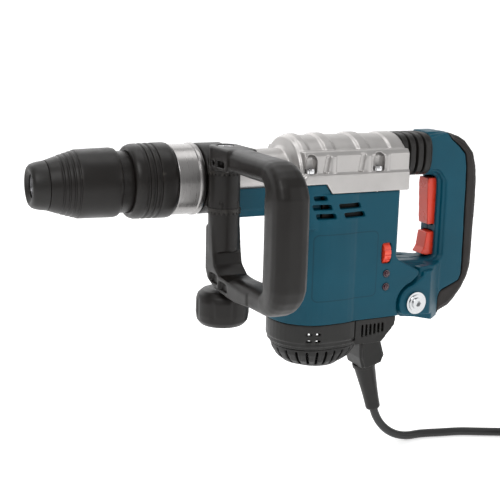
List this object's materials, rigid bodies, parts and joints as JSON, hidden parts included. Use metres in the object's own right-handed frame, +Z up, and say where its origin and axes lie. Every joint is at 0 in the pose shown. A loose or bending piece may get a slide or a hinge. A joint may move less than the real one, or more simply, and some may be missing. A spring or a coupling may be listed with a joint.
{
  "type": "demolition hammer",
  "caption": "Electric demolition hammer: round chisel socket, crank-driven striking gear, motor below, sprung rear D-handle and swivelling front loop handle.",
  "frame": {"origin": "centre of the mouth of the tool socket, on the barrel axis", "axes": "+X from the socket back along the barrel to the rear handle, +Z up with the motor hanging below, the chisel leaves along -X"},
  "size_m": [0.5847, 0.245, 0.3325],
  "materials": {
    "rubber_black": "moulded satin rubber",
    "plastic_black": "satin glass-filled nylon",
    "plastic_charcoal": "satin moulded plastic",
    "grille_black": "satin moulded plastic",
    "steel_dark": "machined, oiled",
    "steel_collar": "turned satin",
    "bearing_steel": "ground",
    "bronze": "sintered bronze",
    "seal_rubber": "smooth",
    "piston_alloy": "machined",
    "copper_iron": "varnished windings and laminations",
    "commutator_copper": "copper bars",
    "carbon": "pressed carbon",
    "cast_aluminium": "fine cast, satin",
    "screw_steel": "zinc plated",
    "chrome_cap": "polished",
    "plastic_blue": "satin moulded nylon",
    "plastic_red": "smooth moulded",
    "lamp_lens": "dark lens",
    "circuit": "coated board",
    "grip_rubber": "soft overmould",
    "cord_black": "smooth jacket",
    "tie_fabric": "hook and loop strap",
    "pin_brass": "bright"
  },
  "bodies": {
    "root": {"holder_bush": "bronze", "front_flange": "steel_collar", "cylinder_tube": "steel_dark", "crank_bearings": "bearing_steel", "motor_bearings": "bearing_steel", "stator": "copper_iron", "brush_holders": "bronze", "carbon_brushes": "carbon", "gear_case": "cast_aluminium", "bearing_plate": "piston_alloy", "case_screws": "screw_steel", "motor_housing": "plastic_blue", "intake_cover": "plastic_charcoal", "intake_grille": "grille_black", "rear_cover": "plastic_charcoal", "speed_module": "circuit", "indicator_lamps": "lamp_lens", "bellows": "rubber_black", "damper_spring": "steel_dark", "cord_gland": "plastic_charcoal", "cord_boot": "rubber_black", "mains_cord": "cord_black", "cord_coil": "cord_black", "cord_tie": "tie_fabric", "mains_plug": "cord_black", "plug_pins": "pin_brass"},
    "tool_holder": {"dust_cap": "rubber_black", "tool_holder": "steel_dark", "locking_bars": "steel_dark", "lock_spring": "steel_dark", "index_ring": "plastic_black"},
    "sleeve": {"locking_sleeve": "plastic_black", "lock_ring": "steel_dark"},
    "impact_bolt": {"impact_bolt": "steel_dark"},
    "ram": {"ram": "steel_dark", "ram_seal": "seal_rubber"},
    "piston": {"piston": "piston_alloy", "piston_seal": "seal_rubber"},
    "crank": {"crankshaft": "steel_dark", "crank_gear": "steel_dark"},
    "rod": {"connecting_rod": "steel_dark", "wrist_pin": "steel_dark"},
    "armature": {"armature_shaft": "steel_dark", "armature_core": "copper_iron", "commutator": "commutator_copper", "fan": "plastic_charcoal"},
    "speed_dial": {"speed_dial": "plastic_red"},
    "rear_handle": {"handle_left": "plastic_blue", "handle_right": "plastic_blue", "grip_pad": "grip_rubber", "handle_screws": "screw_steel", "switch_body": "grille_black", "pivot_bolt": "screw_steel", "pivot_caps": "chrome_cap"},
    "trigger": {"trigger": "plastic_red"},
    "lock_button": {"lock_button": "plastic_red"},
    "clamp": {"clamp_band": "plastic_black"},
    "loop_handle": {"loop_grip": "plastic_black", "clamp_bolt": "screw_steel"},
    "knob": {"clamp_knob": "plastic_black"}
  },
  "joints": [
    {"name": "chisel_index_turn", "type": "hinge", "parent": "root", "child": "tool_holder", "pos_m": [0.096, 0, 0], "axis": [1, 0, 0], "continuous": true},
    {"name": "sleeve_pull", "type": "slide", "parent": "tool_holder", "child": "sleeve", "axis": [1, 0, 0], "range_m": [0, 0.008], "stiffness_N_per_m": 1500, "springref_m": -0.004, "deforming": ["lock_spring"]},
    {"name": "impact_bolt_slide", "type": "slide", "parent": "tool_holder", "child": "impact_bolt", "axis": [1, 0, 0], "range_m": [0, 0.008]},
    {"name": "ram_slide", "type": "slide", "parent": "root", "child": "ram", "axis": [1, 0, 0], "range_m": [0, 0.012]},
    {"name": "piston_slide", "type": "slide", "parent": "root", "child": "piston", "axis": [1, 0, 0], "range_m": [0, 0.02]},
    {"name": "armature_spin", "type": "hinge", "parent": "root", "child": "armature", "pos_m": [0.272, 0, -0.1], "axis": [0, 0, 1], "continuous": true},
    {"name": "crank_spin", "type": "hinge", "parent": "root", "child": "crank", "pos_m": [0.30262, 0, -0.04], "axis": [0, 0, 1], "continuous": true},
    {"name": "rod_swing", "type": "hinge", "parent": "crank", "child": "rod", "pos_m": [0.29263, 0, 0], "axis": [0, 0, 1], "continuous": true},
    {"name": "dial_turn", "type": "hinge", "parent": "root", "child": "speed_dial", "pos_m": [0.3276, -0.0275, -0.0745], "axis": [1, 0, 0], "range_deg": [0, 270]},
    {"name": "handle_damper", "type": "hinge", "parent": "root", "child": "rear_handle", "pos_m": [0.3644, 0, -0.127], "axis": [0, 1, 0], "range_deg": [-1, 1], "stiffness_Nm_per_rad": 120, "deforming": ["bellows", "damper_spring"]},
    {"name": "trigger_press", "type": "hinge", "parent": "rear_handle", "child": "trigger", "pos_m": [0.403, 0, -0.0124], "axis": [0, -1, 0], "range_deg": [0, 6], "stiffness_Nm_per_rad": 3, "springref_deg": -5.73},
    {"name": "lock_button_press", "type": "slide", "parent": "rear_handle", "child": "lock_button", "axis": [1, 0, 0], "range_m": [0, 0.004], "stiffness_N_per_m": 600, "springref_m": -0.002},
    {"name": "clamp_turn", "type": "hinge", "parent": "root", "child": "clamp", "pos_m": [0.157, 0, 0], "axis": [1, 0, 0], "continuous": true},
    {"name": "loop_swivel", "type": "hinge", "parent": "clamp", "child": "loop_handle", "pos_m": [0.156, -0.039, -0.009], "axis": [0, 0, 1], "range_deg": [-70, 15]},
    {"name": "knob_turn", "type": "hinge", "parent": "loop_handle", "child": "knob", "pos_m": [0.156, -0.039, -0.118], "axis": [0, 0, 1], "continuous": true}
  ],
  "couplings": [
    {"joint": "crank_spin", "follows": "armature_spin", "ratio": -0.225},
    {"joint": "rod_swing", "follows": "armature_spin", "ratio": 0.225}
  ]
}
